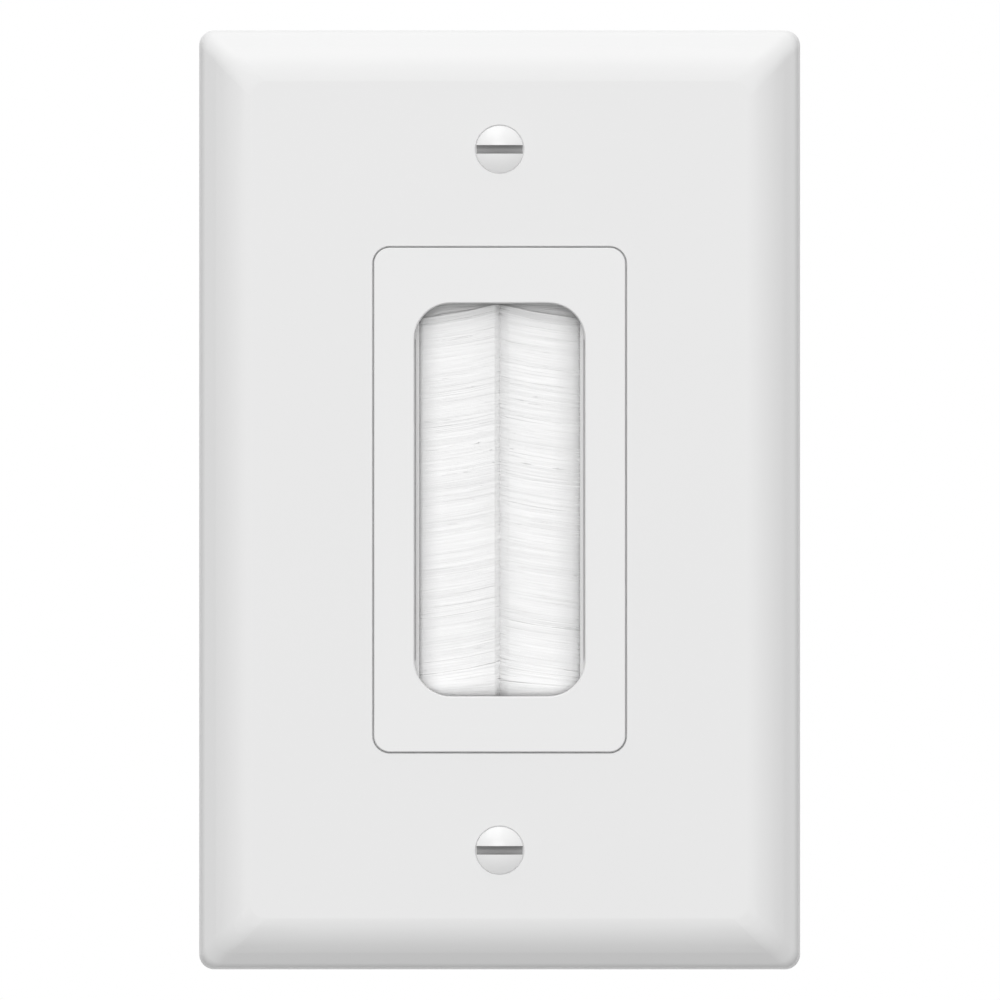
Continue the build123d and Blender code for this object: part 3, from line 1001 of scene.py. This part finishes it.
def studio_world(stage):
    """Room light that is brighter above and in front, and darker at both sides.

    The eye and mirrors see plain white instead.
    """
    white = rgba((1.0, 1.0, 1.0))
    world = bpy.data.worlds.new("studio")
    world.use_nodes = True
    tree = world.node_tree
    tree.nodes.clear()
    direction = add_node(tree, "ShaderNodeTexCoord").outputs["Generated"]
    lean = add_node(
        tree,
        "ShaderNodeVectorMath",
        {0: direction, 1: (0.0, -stage.sky_front, stage.sky_up)},
        operation="DOT_PRODUCT",
    )
    squared = add_node(tree, "ShaderNodeVectorMath", {0: direction, 1: direction}, operation="MULTIPLY")
    sides = add_node(
        tree,
        "ShaderNodeVectorMath",
        {0: squared.outputs["Vector"], 1: (-stage.sky_side, 0.0, 0.0)},
        operation="DOT_PRODUCT",
    )
    even = add_node(
        tree,
        "ShaderNodeMath",
        {0: lean.outputs["Value"], 1: stage.sky_level},
        operation="ADD",
    )
    level = add_node(
        tree,
        "ShaderNodeMath",
        {0: even.outputs["Value"], 1: sides.outputs["Value"]},
        operation="ADD",
    )
    room = add_node(tree, "ShaderNodeBackground", {"Color": white, "Strength": level.outputs["Value"]})
    backdrop = add_node(tree, "ShaderNodeBackground", {"Color": white, "Strength": 1.0})
    ray = add_node(tree, "ShaderNodeLightPath").outputs
    mirror = add_node(
        tree,
        "ShaderNodeMath",
        {0: ray["Is Glossy Ray"], 1: ray["Is Transmission Ray"]},
        operation="MAXIMUM",
    )
    seen = add_node(
        tree,
        "ShaderNodeMath",
        {0: ray["Is Camera Ray"], 1: mirror.outputs["Value"]},
        operation="MAXIMUM",
    )
    mix = add_node(
        tree,
        "ShaderNodeMixShader",
        {0: seen.outputs["Value"], 1: room.outputs["Background"], 2: backdrop.outputs["Background"]},
    )
    add_node(tree, "ShaderNodeOutputWorld", {"Surface": mix.outputs["Shader"]})
    bpy.context.scene.world = world


def soft_box(name, place, size, power):
    """Square area light that looks at the insert."""
    data = bpy.data.lights.new(name, "AREA")
    data.shape = "SQUARE"
    data.size = size
    data.energy = power
    lamp = bpy.data.objects.new(name, data)
    lamp.location = place
    lamp.rotation_euler = (-lamp.location).to_track_quat("-Z", "Y").to_euler()
    bpy.context.scene.collection.objects.link(lamp)


def floor_paper(stage):
    """Matt paper that fades into the white room towards the floor's rim, and is clear from below.

    The eye sees an even, dull white with a faint tooth.
    """
    tooth_mm = 1.5  # drawn coarser than the paper's own fibres, so that it shows
    material, tree, output = new_material("matt floor paper")
    place = add_node(tree, "ShaderNodeTexCoord").outputs["Object"]
    distance = add_node(tree, "ShaderNodeVectorMath", {0: place}, operation="LENGTH")
    fade = add_node(
        tree,
        "ShaderNodeMapRange",
        {
            "Value": distance.outputs["Value"],
            "From Min": stage.fade_start * stage.floor_radius,
            "From Max": stage.fade_end * stage.floor_radius,
        },
        interpolation_type="SMOOTHSTEP",
    )
    tooth = add_node(
        tree,
        "ShaderNodeTexNoise",
        {"Vector": place, "Scale": per_metre(tooth_mm), "Detail": 2.0},
    )
    bump = add_node(
        tree,
        "ShaderNodeBump",
        {"Strength": 0.1, "Distance": 0.05 * MM, "Height": tooth.outputs["Fac"]},
    )
    paper = add_node(
        tree,
        "ShaderNodeBsdfPrincipled",
        {"Base Color": rgba(stage.floor), "Roughness": 0.9, "Normal": bump.outputs["Normal"]},
    )
    clear = add_node(tree, "ShaderNodeBsdfTransparent")
    under = add_node(tree, "ShaderNodeNewGeometry").outputs["Backfacing"]
    hidden = add_node(tree, "ShaderNodeMath", {0: fade.outputs["Result"], 1: under}, operation="MAXIMUM")
    mix = add_node(
        tree,
        "ShaderNodeMixShader",
        {0: hidden.outputs["Value"], 1: paper.outputs["BSDF"], 2: clear.outputs["BSDF"]},
    )
    tree.links.new(mix.outputs["Shader"], output.inputs["Surface"])
    return material


def round_floor(stage):
    """Round floor under the plate."""
    corners = 96
    points = []
    for k in range(corners):
        angle = 2 * math.pi * k / corners
        points.append((stage.floor_radius * math.cos(angle), stage.floor_radius * math.sin(angle), 0.0))
    mesh = bpy.data.meshes.new("floor")
    mesh.from_pydata(points, [], [tuple(range(corners))])
    mesh.materials.append(floor_paper(stage))
    floor = bpy.data.objects.new("floor", mesh)
    floor.location.z = -stage.floor_drop
    bpy.context.scene.collection.objects.link(floor)
    # The part keeps its own tones: the floor takes its shadow but throws no light back at it.
    floor.visible_diffuse = False
    floor.visible_glossy = False


def straight_camera(stage):
    """Camera that looks straight at the plate through a long lens."""
    data = bpy.data.cameras.new("camera")
    data.lens = stage.lens
    middle = (plate_low.y + plate_high.y) / 2
    away = stage.frame_width * data.lens / data.sensor_width
    camera = bpy.data.objects.new("camera", data)
    camera.location = (stage.aim_x, middle - away, stage.aim_z)
    camera.rotation_euler = (math.radians(90), 0.0, 0.0)
    bpy.context.scene.collection.objects.link(camera)
    bpy.context.scene.camera = camera


class BRUSHPLATE_OT_stage(bpy.types.Operator):
    """Set up the camera, the soft light and the floor"""

    bl_idname = "brush_plate.stage"
    bl_label = "Stage"

    def execute(self, context):
        stage = context.scene.brush_plate_stage
        context.scene.view_settings.view_transform = "Standard"
        studio_world(stage)
        soft_box("key_soft_box", stage.key_place, stage.box_size, stage.key_power)
        soft_box("front_soft_box", stage.front_place, stage.box_size, stage.front_power)
        round_floor(stage)
        straight_camera(stage)
        return {"FINISHED"}


SETTINGS = {
    "brush_plate_finish": FinishSettings,
    "brush_plate_brush": BrushSettings,
    "brush_plate_screws": ScrewSettings,
    "brush_plate_stage": StageSettings,
}
OPERATORS = (
    BRUSHPLATE_OT_plate,
    BRUSHPLATE_OT_insert,
    BRUSHPLATE_OT_channels,
    BRUSHPLATE_OT_bristles,
    BRUSHPLATE_OT_plate_screws,
    BRUSHPLATE_OT_box_screws,
    BRUSHPLATE_OT_stage,
)


class BRUSHPLATE_PT_panel(bpy.types.Panel):
    """Steps and sizes of the brush wall plate"""

    bl_idname = "BRUSHPLATE_PT_panel"
    bl_label = "Brush wall plate"
    bl_space_type = "VIEW_3D"
    bl_region_type = "UI"
    bl_category = "Brush plate"

    def draw(self, context):
        for operator in OPERATORS:
            self.layout.operator(operator.bl_idname)
        for name, group in SETTINGS.items():
            box = self.layout.box()
            for setting in group.__annotations__:
                box.prop(getattr(context.scene, name), setting)


CLASSES = (*SETTINGS.values(), *OPERATORS, BRUSHPLATE_PT_panel)


def register():
    """Registers the classes and gives the scene its settings."""
    for cls in CLASSES:
        bpy.utils.register_class(cls)
    for name, group in SETTINGS.items():
        setattr(bpy.types.Scene, name, PointerProperty(type=group))


def unregister():
    """Takes the settings and the classes away again."""
    for name in SETTINGS:
        delattr(bpy.types.Scene, name)
    for cls in reversed(CLASSES):
        bpy.utils.unregister_class(cls)


def main():
    """Runs every step."""
    register()
    bpy.ops.brush_plate.plate()
    bpy.ops.brush_plate.insert()
    bpy.ops.brush_plate.channels()
    bpy.ops.brush_plate.bristles()
    bpy.ops.brush_plate.plate_screws()
    bpy.ops.brush_plate.box_screws()
    bpy.ops.brush_plate.stage()


if __name__ == "__main__":
    main()
